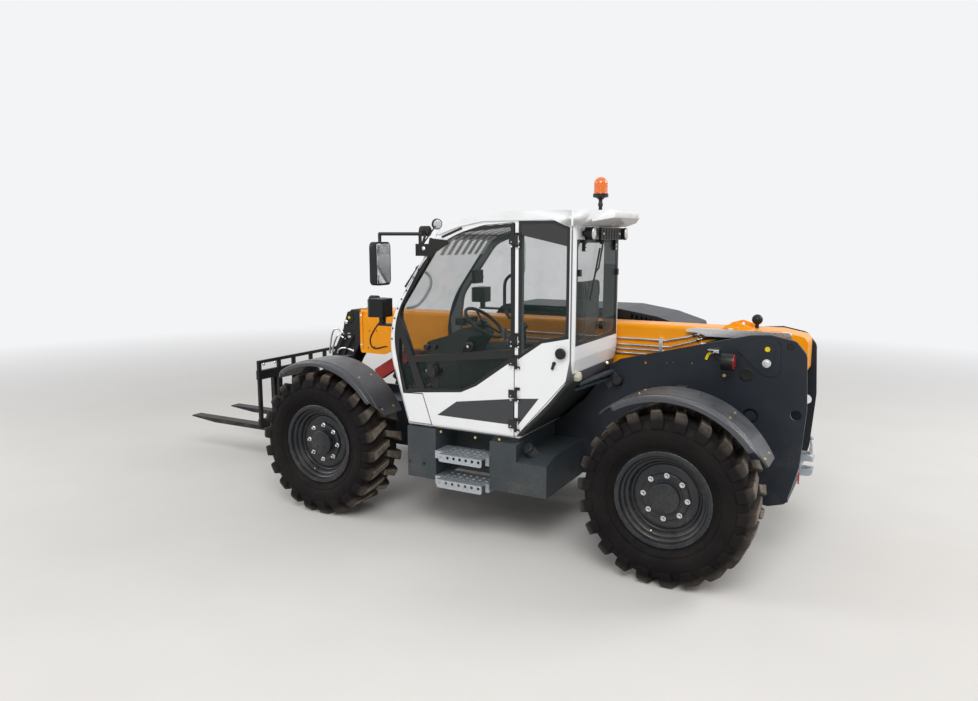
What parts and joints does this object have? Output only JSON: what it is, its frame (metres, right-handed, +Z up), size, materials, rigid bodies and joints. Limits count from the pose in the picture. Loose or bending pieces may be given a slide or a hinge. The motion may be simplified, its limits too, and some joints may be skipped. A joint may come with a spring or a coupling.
{
  "type": "telehandler",
  "caption": "Telescopic handler: side cab, central lifting and telescoping boom with tilting fork carriage, steered wheels.",
  "frame": {"origin": "on the ground under the middle of the whole machine, on the vehicle's centre plane", "axes": "+X forward to the fork tips, +Y to the vehicle's left where the cab is, +Z up"},
  "size_m": [6.35, 2.59, 2.783],
  "materials": {
    "anthracite_paint": "satin",
    "galvanised": "satin",
    "dark_paint": "satin",
    "white_paint": "gloss",
    "tinted_glass": "gloss",
    "interior_plastic": "matte",
    "black_plastic": "matte",
    "seat_fabric": "matte",
    "grey_paint": "satin",
    "beacon_orange": "gloss",
    "orange_paint": "gloss",
    "bright_steel": "gloss",
    "red_paint": "gloss",
    "fork_black": "satin",
    "tyre_rubber": "matte",
    "rim_paint": "satin"
  },
  "bodies": {
    "chassis": {"chassis_frame": "anthracite_paint", "frame_pins": "anthracite_paint", "rear_hitch": "galvanised", "axles": "dark_paint", "cab_shell": "white_paint", "cab_roof": "white_paint", "cab_glass": "tinted_glass", "cab_dash": "interior_plastic", "steering_wheel": "black_plastic", "driver_seat": "seat_fabric", "side_boxes": "anthracite_paint", "access_steps": "galvanised", "fuel_tank": "anthracite_paint", "engine_firewall": "anthracite_paint", "engine_block": "grey_paint", "work_lamps": "black_plastic", "plate_holder": "black_plastic", "beacon": "beacon_orange", "mirrors": "black_plastic"},
    "boom": {"boom_outer": "orange_paint", "boom_pipes": "bright_steel", "boom_lamp": "black_plastic", "safety_prop": "red_paint"},
    "boom_extension": {"boom_inner": "anthracite_paint", "head_pins": "bright_steel"},
    "carriage": {"fork_carriage": "dark_paint", "forks": "fork_black"},
    "lift_barrel": {"lift_cylinder_barrel": "anthracite_paint"},
    "lift_rod": {"lift_cylinder_rod": "bright_steel"},
    "tilt_barrel": {"tilt_cylinder_barrel": "anthracite_paint"},
    "tilt_rod": {"tilt_cylinder_rod": "bright_steel"},
    "door": {"cab_door": "white_paint", "door_glass": "tinted_glass"},
    "hood": {"engine_hood": "anthracite_paint"},
    "knuckle_front_left": {"knuckle_front_left": "dark_paint", "fender_front_left": "black_plastic"},
    "wheel_front_left": {"tyre_front_left": "tyre_rubber", "rim_front_left": "rim_paint"},
    "knuckle_front_right": {"knuckle_front_right": "dark_paint", "fender_front_right": "black_plastic"},
    "wheel_front_right": {"tyre_front_right": "tyre_rubber", "rim_front_right": "rim_paint"},
    "knuckle_rear_left": {"knuckle_rear_left": "dark_paint", "fender_rear_left": "black_plastic"},
    "wheel_rear_left": {"tyre_rear_left": "tyre_rubber", "rim_rear_left": "rim_paint"},
    "knuckle_rear_right": {"knuckle_rear_right": "dark_paint", "fender_rear_right": "black_plastic"},
    "wheel_rear_right": {"tyre_rear_right": "tyre_rubber", "rim_rear_right": "rim_paint"}
  },
  "joints": [
    {"name": "boom_lift", "type": "hinge", "parent": "chassis", "child": "boom", "pos_m": [-2.855, -0.08, 1.505], "axis": [0, -1, 0], "range_deg": [-2, 65]},
    {"name": "boom_extend", "type": "slide", "parent": "boom", "child": "boom_extension", "axis": [1, 0, 0], "range_m": [0, 2.2]},
    {"name": "carriage_tilt", "type": "hinge", "parent": "boom_extension", "child": "carriage", "pos_m": [1.505, -0.08, 0.61], "axis": [0, 1, 0], "range_deg": [-15, 95]},
    {"name": "lift_barrel_swing", "type": "hinge", "parent": "chassis", "child": "lift_barrel", "pos_m": [-2.763, -0.08, 1.068], "axis": [0, -1, 0], "range_deg": [-2.13, 59.84]},
    {"name": "lift_rod_slide", "type": "slide", "parent": "lift_barrel", "child": "lift_rod", "axis": [0.9967, 0, 0.0806], "range_m": [-0.016, 0.4569]},
    {"name": "tilt_barrel_swing", "type": "hinge", "parent": "boom_extension", "child": "tilt_barrel", "pos_m": [1.123, -0.08, 1.39], "axis": [0, 1, 0], "range_deg": [-1.06, 0.42]},
    {"name": "tilt_rod_slide", "type": "slide", "parent": "tilt_barrel", "child": "tilt_rod", "axis": [0.6174, 0, -0.7866], "range_m": [-0.0575, 0.3535]},
    {"name": "door_swing", "type": "hinge", "parent": "chassis", "child": "door", "pos_m": [-1.23, 1.06, 1.5], "axis": [0, 0, 1], "range_deg": [0, 130]},
    {"name": "hood_lift", "type": "hinge", "parent": "chassis", "child": "hood", "pos_m": [-0.955, -0.369, 1.7], "axis": [-1, 0, 0], "range_deg": [0, 60]},
    {"name": "steer_front_left", "type": "hinge", "parent": "chassis", "child": "knuckle_front_left", "pos_m": [0.615, 0.7, 0.61], "axis": [0, 0, 1], "range_deg": [-32, 32]},
    {"name": "roll_front_left", "type": "hinge", "parent": "knuckle_front_left", "child": "wheel_front_left", "pos_m": [0.615, 0.935, 0.61], "axis": [0, 1, 0], "continuous": true},
    {"name": "steer_front_right", "type": "hinge", "parent": "chassis", "child": "knuckle_front_right", "pos_m": [0.615, -0.7, 0.61], "axis": [0, 0, 1], "range_deg": [-32, 32]},
    {"name": "roll_front_right", "type": "hinge", "parent": "knuckle_front_right", "child": "wheel_front_right", "pos_m": [0.615, -0.935, 0.61], "axis": [0, 1, 0], "continuous": true},
    {"name": "steer_rear_left", "type": "hinge", "parent": "chassis", "child": "knuckle_rear_left", "pos_m": [-2.355, 0.7, 0.61], "axis": [0, 0, 1], "range_deg": [-32, 32]},
    {"name": "roll_rear_left", "type": "hinge", "parent": "knuckle_rear_left", "child": "wheel_rear_left", "pos_m": [-2.355, 0.935, 0.61], "axis": [0, 1, 0], "continuous": true},
    {"name": "steer_rear_right", "type": "hinge", "parent": "chassis", "child": "knuckle_rear_right", "pos_m": [-2.355, -0.7, 0.61], "axis": [0, 0, 1], "range_deg": [-32, 32]},
    {"name": "roll_rear_right", "type": "hinge", "parent": "knuckle_rear_right", "child": "wheel_rear_right", "pos_m": [-2.355, -0.935, 0.61], "axis": [0, 1, 0], "continuous": true}
  ],
  "couplings": [
    {"joint": "lift_barrel_swing", "follows": "boom_lift", "ratio": 0.916},
    {"joint": "lift_rod_slide", "follows": "boom_lift", "m_per_rad": 0.401},
    {"joint": "tilt_barrel_swing", "follows": "carriage_tilt", "ratio": -0.008},
    {"joint": "tilt_rod_slide", "follows": "carriage_tilt", "m_per_rad": 0.212},
    {"joint": "steer_front_right", "follows": "steer_front_left", "ratio": 1},
    {"joint": "steer_rear_right", "follows": "steer_rear_left", "ratio": 1}
  ]
}
